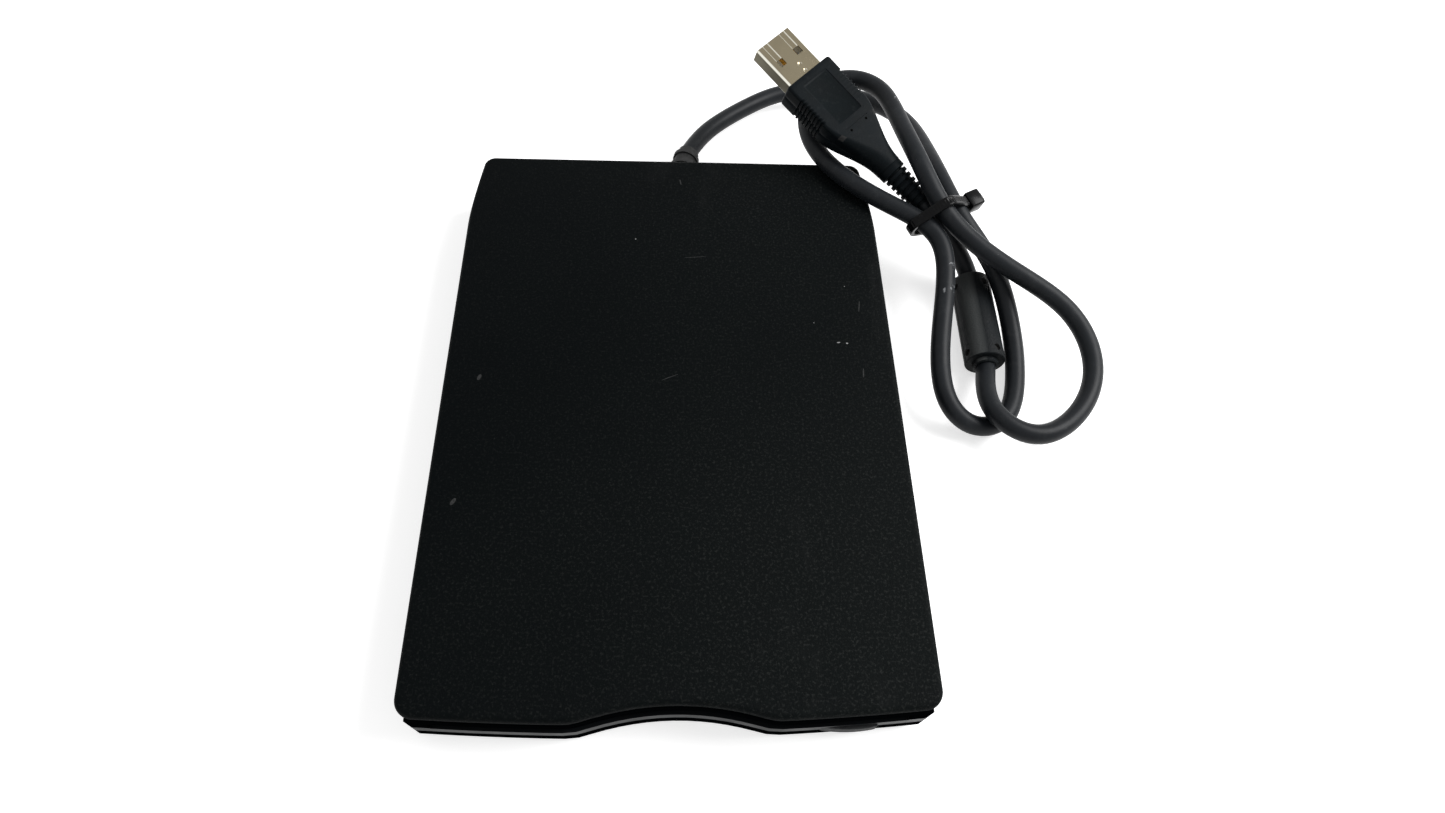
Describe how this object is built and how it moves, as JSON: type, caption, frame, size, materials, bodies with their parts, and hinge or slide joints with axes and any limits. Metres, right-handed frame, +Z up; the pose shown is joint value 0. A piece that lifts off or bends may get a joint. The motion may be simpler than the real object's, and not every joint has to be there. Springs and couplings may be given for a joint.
{
  "type": "external floppy drive",
  "caption": "Slim external floppy drive with a finger notch, disk slot, eject button, working mechanism and a tied USB lead with a ferrite bead.",
  "frame": {"origin": "middle of the drive's footprint on the table, under its rubber feet; the lead isn't counted", "axes": "+X to the right seen from the front, +Y from the slot towards the back wall, +Z up"},
  "size_m": [0.1572, 0.1866, 0.0392],
  "materials": {
    "case_plastic": "fine moulded grain",
    "bezel_plastic": "satin",
    "door_plastic": "satin",
    "foot_rubber": "matte",
    "screw_steel": "plated",
    "frame_steel": "plated sheet",
    "plate_steel": "plated sheet",
    "rod_steel": "ground",
    "motor_steel": "drawn",
    "rotor_steel": "turned",
    "board": "solder mask",
    "stator_board": "solder mask with copper coils",
    "ribbon": "satin",
    "lead_plastic": "satin",
    "switch_plastic": "satin",
    "plunger_plastic": "satin",
    "carriage_plastic": "satin",
    "boot_rubber": "satin",
    "cord_skin": "satin",
    "bead_plastic": "satin",
    "tie_plastic": "satin",
    "plug_plastic": "satin",
    "plug_metal": "nickel plated",
    "tongue_plastic": "satin",
    "contact_brass": "gold plated"
  },
  "bodies": {
    "root": {"top_cover": "case_plastic", "bottom_cover": "case_plastic", "front_bezel": "bezel_plastic", "rubber_feet": "foot_rubber", "case_screws": "screw_steel", "drive_frame": "frame_steel", "frame_screws": "screw_steel", "main_board": "board", "interface_board": "board", "flat_cable": "ribbon", "inner_leads": "lead_plastic", "spindle_stator": "stator_board", "guide_rod": "rod_steel", "stepper_motor": "motor_steel", "sensor_block": "switch_plastic", "strain_relief": "boot_rubber", "cord": "cord_skin", "ferrite_bead": "bead_plastic", "cable_tie": "tie_plastic", "plug_overmold": "plug_plastic", "plug_shell": "plug_metal", "plug_tongue": "tongue_plastic", "plug_contacts": "contact_brass"},
    "eject_slider": {"eject_button": "bezel_plastic", "eject_plate": "plate_steel"},
    "carrier": {"disk_carrier": "plate_steel"},
    "door": {"slot_door": "door_plastic"},
    "rotor": {"spindle_rotor": "rotor_steel"},
    "carriage": {"head_carriage": "carriage_plastic"},
    "upper_arm": {"upper_head_arm": "frame_steel"},
    "screw_shaft": {"lead_screw": "rod_steel"},
    "lever": {"latch_lever": "frame_steel"},
    "protect_pin": {"protect_plunger": "plunger_plastic"},
    "density_pin": {"density_plunger": "plunger_plastic"},
    "presence_pin": {"presence_plunger": "plunger_plastic"}
  },
  "joints": [
    {"name": "carrier_drop", "type": "slide", "parent": "root", "child": "carrier", "axis": [0, 0, -1], "range_m": [0, 0.0018]},
    {"name": "eject_slide", "type": "slide", "parent": "root", "child": "eject_slider", "axis": [0, -1, 0], "range_m": [0, 0.0045]},
    {"name": "slot_door_hinge", "type": "hinge", "parent": "root", "child": "door", "pos_m": [0, -0.0649, 0.0139], "axis": [1, 0, 0], "range_deg": [0, 85], "stiffness_Nm_per_rad": 0.0004, "springref_deg": -17.19},
    {"name": "spindle_turn", "type": "hinge", "parent": "root", "child": "rotor", "pos_m": [0, -0.021, 0.006], "axis": [0, 0, 1], "continuous": true},
    {"name": "head_slide", "type": "slide", "parent": "root", "child": "carriage", "axis": [0, -1, 0], "range_m": [0, 0.0155]},
    {"name": "lead_screw_turn", "type": "hinge", "parent": "root", "child": "screw_shaft", "pos_m": [-0.016, 0.034, 0.0092], "axis": [0, 1, 0], "range_deg": [0, 1860]},
    {"name": "upper_arm_hinge", "type": "hinge", "parent": "carriage", "child": "upper_arm", "pos_m": [0, 0.028, 0.01441], "axis": [1, 0, 0], "range_deg": [0, 20]},
    {"name": "latch_lever_hinge", "type": "hinge", "parent": "carrier", "child": "lever", "pos_m": [0.032, 0.022, 0.0139], "axis": [0, 0, -1], "range_deg": [0, 50], "stiffness_Nm_per_rad": 0.0005, "springref_deg": -17.19},
    {"name": "protect_plunger_press", "type": "slide", "parent": "root", "child": "protect_pin", "axis": [0, 0, -1], "range_m": [0, 0.0012], "stiffness_N_per_m": 40, "springref_m": -0.0005},
    {"name": "density_plunger_press", "type": "slide", "parent": "root", "child": "density_pin", "axis": [0, 0, -1], "range_m": [0, 0.0012], "stiffness_N_per_m": 40, "springref_m": -0.0005},
    {"name": "presence_plunger_press", "type": "slide", "parent": "root", "child": "presence_pin", "axis": [0, 0, -1], "range_m": [0, 0.0012], "stiffness_N_per_m": 40, "springref_m": -0.0005}
  ],
  "couplings": [
    {"joint": "eject_slide", "follows": "carrier_drop", "ratio": 2.5},
    {"joint": "upper_arm_hinge", "follows": "carrier_drop", "rad_per_m": 193.93},
    {"joint": "lead_screw_turn", "follows": "head_slide", "rad_per_m": 2094.4}
  ]
}
